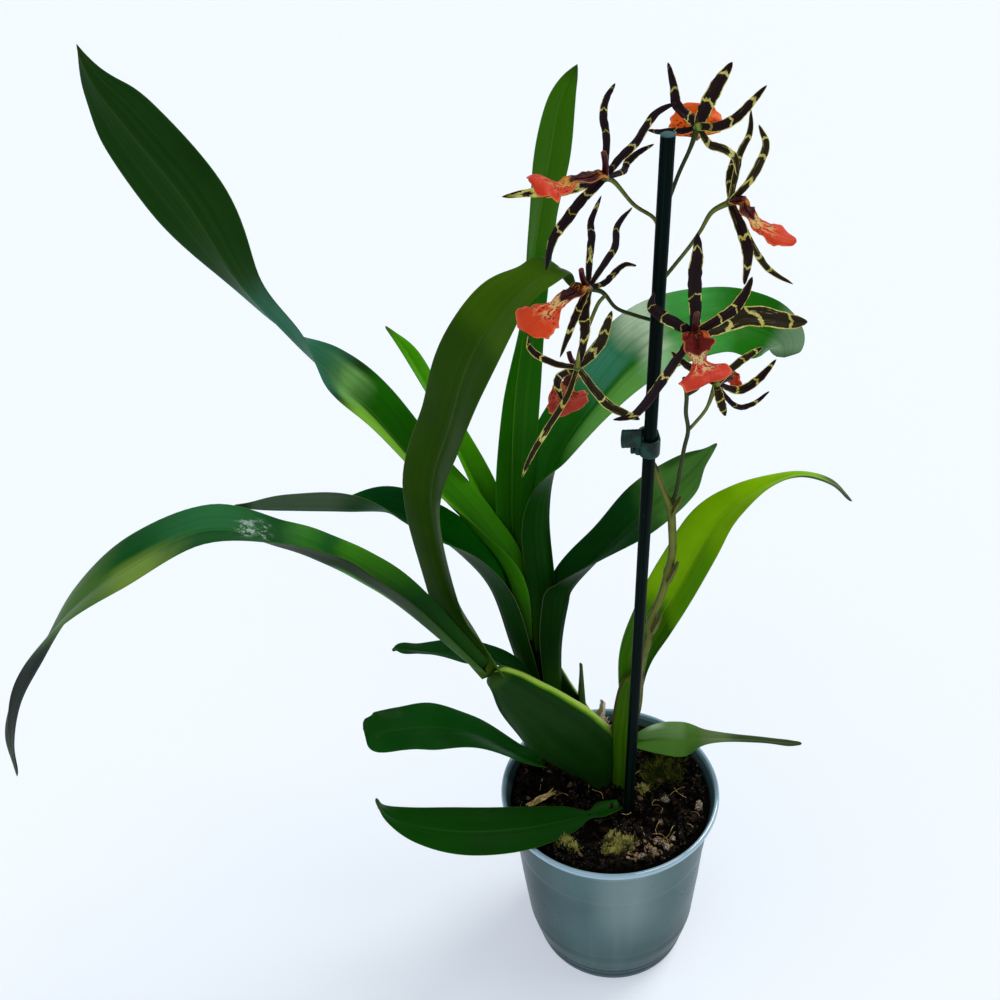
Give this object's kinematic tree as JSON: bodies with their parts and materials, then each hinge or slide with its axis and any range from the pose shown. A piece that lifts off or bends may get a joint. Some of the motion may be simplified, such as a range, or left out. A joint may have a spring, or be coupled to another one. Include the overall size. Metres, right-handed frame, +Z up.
{
  "type": "potted cambria orchid",
  "caption": "Cambria orchid in a round plastic pot: strap leaves on swollen pseudobulbs, and a staked spike of dark spidery blooms with coral lips.",
  "frame": {"origin": "middle of the pot's foot, on the surface it stands on", "axes": "+Z up along the pot's axis, +X to the right as the blooms are looked at, +Y to the back of the plant"},
  "size_m": [0.4186, 0.1365, 0.5063],
  "materials": {
    "pot_plastic": "glossy blue-grey moulded plastic with a paler rim",
    "stake_green": "nearly black green, slightly glossy, cut top paler",
    "clip_green": "dark green moulded plastic",
    "bark": "dark damp bark and coir chips with moss",
    "bulb_green": "smooth waxy green flesh with faint ribs",
    "sheath_green": "yellow-green young sheaths, satin",
    "rhizome": "brown woody rhizome, rough",
    "leaf_green": "leathery glossy green with a pale midrib and fine long veins",
    "spike_green": "olive stem with brown joints and bracts",
    "dry_sheath": "dry papery sheath, straw-coloured",
    "tepal": "nearly black purple-brown with yellow bars and edges",
    "lip": "coral to orange-red with a cream patch and maroon claw"
  },
  "bodies": {
    "root": {"pot": "pot_plastic", "stake": "stake_green", "stake_clip": "clip_green", "bark_substrate": "bark", "front_pseudobulb": "bulb_green", "rear_pseudobulb": "bulb_green", "flowering_growth": "sheath_green", "rhizome": "rhizome", "flower_spike": "spike_green", "leaf_front_arching": "leaf_green", "leaf_front_trailing": "leaf_green", "leaf_fan_outer_left": "leaf_green", "leaf_fan_outer_right": "leaf_green", "leaf_fan_tall_left": "leaf_green", "leaf_fan_broad_right": "leaf_green", "leaf_fan_upright": "leaf_green", "leaf_fan_young": "leaf_green", "leaf_fan_basal_left": "leaf_green", "leaf_low_left": "leaf_green", "leaf_low_front": "leaf_green", "leaf_low_right": "leaf_green", "leaf_right_arching": "leaf_green", "bract_rear": "sheath_green", "sheath_dry_rear": "dry_sheath", "bloom_left_top_tepals": "tepal", "bloom_left_top_lip": "lip", "bloom_left_middle_tepals": "tepal", "bloom_left_middle_lip": "lip", "bloom_top_tepals": "tepal", "bloom_top_lip": "lip", "bloom_right_top_tepals": "tepal", "bloom_right_top_lip": "lip", "bloom_front_tepals": "tepal", "bloom_front_lip": "lip", "bloom_right_low_tepals": "tepal", "bloom_right_low_lip": "lip", "bloom_left_low_tepals": "tepal", "bloom_left_low_lip": "lip"}
  },
  "joints": []
}
